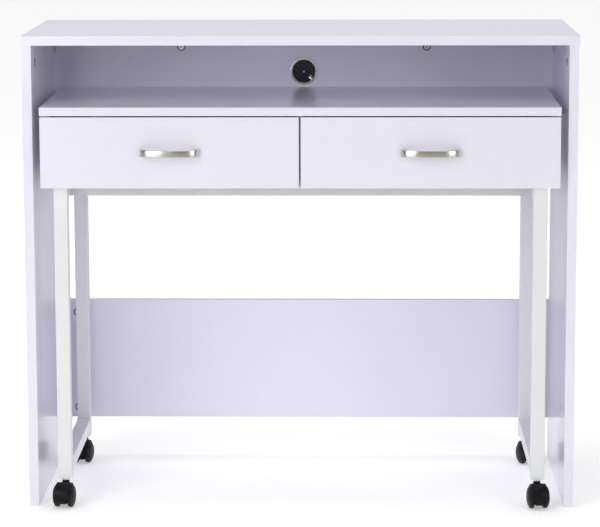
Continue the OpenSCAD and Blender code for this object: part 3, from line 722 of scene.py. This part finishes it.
def make_lip(axes, low, high):
    """A plate between two corners, as (out, across) in millimetres along the axes, with its rim rounded."""
    corners = ((high[0], high[1]), (low[0], high[1]), (low[0], low[1]), (high[0], low[1]))
    rings = []
    for lift, pull in LIP_RIM:
        radius = max(LIP_ROUND - LIP_ROUND * pull, LEAST_RADIUS)
        ring = []
        for k, (cx, cy) in enumerate(corners):
            mid_x = cx + (-LIP_ROUND if cx == high[0] else LIP_ROUND)
            mid_y = cy + (-LIP_ROUND if cy == high[1] else LIP_ROUND)
            for i in range(LIP_CORNER_STEPS + 1):
                a = math.radians(90 * k + 90 * i / LIP_CORNER_STEPS)
                spot = (mid_x + radius * math.cos(a), mid_y + radius * math.sin(a), lift * LIP_THICK)
                ring.append(LIPS_AT + sum((axis * v * MM for axis, v in zip(axes, spot)), Vector()))
        rings.append(ring)
    return rings_to_mesh(rings)


def join_parts(parts):
    """One (points, faces) from many."""
    points, faces = [], []
    for more, quads in parts:
        faces += [tuple(k + len(points) for k in quad) for quad in quads]
        points += more
    return points, faces


def make_grommet_details():
    out = Vector((math.cos(NOTCH_TURN), 0, math.sin(NOTCH_TURN)))
    across = Vector((-math.sin(NOTCH_TURN), 0, math.cos(NOTCH_TURN)))
    axes = (out, across, Vector((0, -1, 0)))
    lips = [make_lip(axes, (NOTCH_IN, low), (NOTCH_OUT, high))
            for low, high in ((SLIT_HALF, NOTCH_HALF), (-NOTCH_HALF, -SLIT_HALF))]
    add_piece("grommet_lips", join_parts(lips), "black_plastic", "grommet_cap")
    rivet = lathe(RIVET, RIVET_AT, (0, -1, 0), FITTING_SPOKES)
    add_piece("grommet_rivet", rivet, "bright_steel", "grommet_cap")


make_grommet_details()

# ---- Cam fittings: a dark ring round each cam, painted shade for the shadow in its pocket; in millimetres ----

SIDE_CAM_X = 481.5
SIDE_CAM_Y = (-125.5, 177.5)
BACK_CAM_Y = 204.5
TOP_CAM_X = 238.0
TOP_CAM_Z = 814.0
END_CAM_X = 447.5
END_CAM_Z = (708.0, 290.0, 99.0)
# A closed outline, as (radius, distance out from the board)
SHADE_RING_OUTLINE = [(6.1, -0.3), (6.1, 0.1), (6.3, 0.3), (7.7, 0.3), (8.0, 0.1), (8.0, -0.3), (6.1, -0.3)]


def make_cam_shade_rings():
    spots = []
    for s in (-1, 1):
        spots += [((s * SIDE_CAM_X, y, TOP_CAM_Z), (-s, 0, 0)) for y in SIDE_CAM_Y]
        spots += [((s * TOP_CAM_X, BACK_CAM_Y, TOP_CAM_Z), (0, -1, 0))]
        spots += [((s * END_CAM_X, BACK_CAM_Y, z), (0, -1, 0)) for z in END_CAM_Z]
    # Black rings round the cams: painted shade standing in for the shadow in each cam's pocket.
    shade_rings = [lathe(SHADE_RING_OUTLINE, Vector(at) * MM, way, FITTING_SPOKES) for at, way in spots]
    add_piece("cam_shade_rings", join_parts(shade_rings), "black_plastic", "console")


make_cam_shade_rings()

# ---- Weld beads where the leg frames' rails meet the legs ----

BEAD_R = 1.3 * MM
BEAD_STEP = 1.1 * MM
BEAD_SIDES = 10
# A bead's thickness as shares of BEAD_R: its least, what its ripples add, and what chance adds
BEAD_LEAST = 0.72
BEAD_RIPPLE = 0.2
BEAD_CHANCE = 0.08
RIPPLE_RATE = 1.3
TUBE = 25 * MM
RAIL_LOW = 61 * MM


def bead_path(x_low, x_high, y, z_low, z_high, closed):
    """Points round the rail's outline in the plane of the joint. An open path leaves out the top."""
    corners = [(x_low, z_high), (x_low, z_low), (x_high, z_low), (x_high, z_high)]
    if closed:
        corners.append(corners[0])
    path = []
    for (xa, za), (xb, zb) in zip(corners, corners[1:]):
        steps = max(2, round(math.hypot(xb - xa, zb - za) / BEAD_STEP))
        for i in range(steps):
            t = i / steps
            path.append(Vector((xa + (xb - xa) * t, y, za + (zb - za) * t)))
    if not closed:
        path.append(Vector((corners[-1][0], y, corners[-1][1])))
    return path


def sweep(path, radii, closed):
    """A round bead along a path, with a radius for each point."""
    rings = []
    count = len(path)
    for i, point in enumerate(path):
        ahead = path[(i + 1) % count] if closed or i + 1 < count else path[i]
        behind = path[i - 1] if closed or i else path[i]
        along = (ahead - behind).normalized()
        side = along.cross(Vector((0, 1, 0))).normalized()
        radius = radii[i]
        ring = []
        for k in range(BEAD_SIDES):
            a = math.tau * k / BEAD_SIDES
            ring.append(point + side * math.cos(a) * radius + Vector((0, 1, 0)) * math.sin(a) * radius)
        rings.append(ring)
    return rings_to_mesh(rings, closed)


def bead_radius(i, chance):
    """The bead's radius at its point i."""
    ripple = BEAD_RIPPLE * abs(math.sin(i * RIPPLE_RATE))
    return BEAD_R * (BEAD_LEAST + ripple + BEAD_CHANCE * chance.random())


def make_welds(side):
    low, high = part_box(f"{side}_leg_frame")
    chance = Random(f"{side} welds")
    beads = []
    for y in (low.y + TUBE, high.y - TUBE):
        for z in (RAIL_LOW, high.z - TUBE):
            closed = z == RAIL_LOW
            top = z + TUBE if closed else z + TUBE - BEAD_R * 2
            path = bead_path(low.x, high.x, y, z, top, closed)
            radii = [bead_radius(i, chance) for i in range(len(path))]
            beads.append(sweep(path, radii, closed))
    add_piece(f"{side}_weld_beads", join_parts(beads), "white_powder_coat", "rolling_desk")


for side in SIDES:
    make_welds(side)
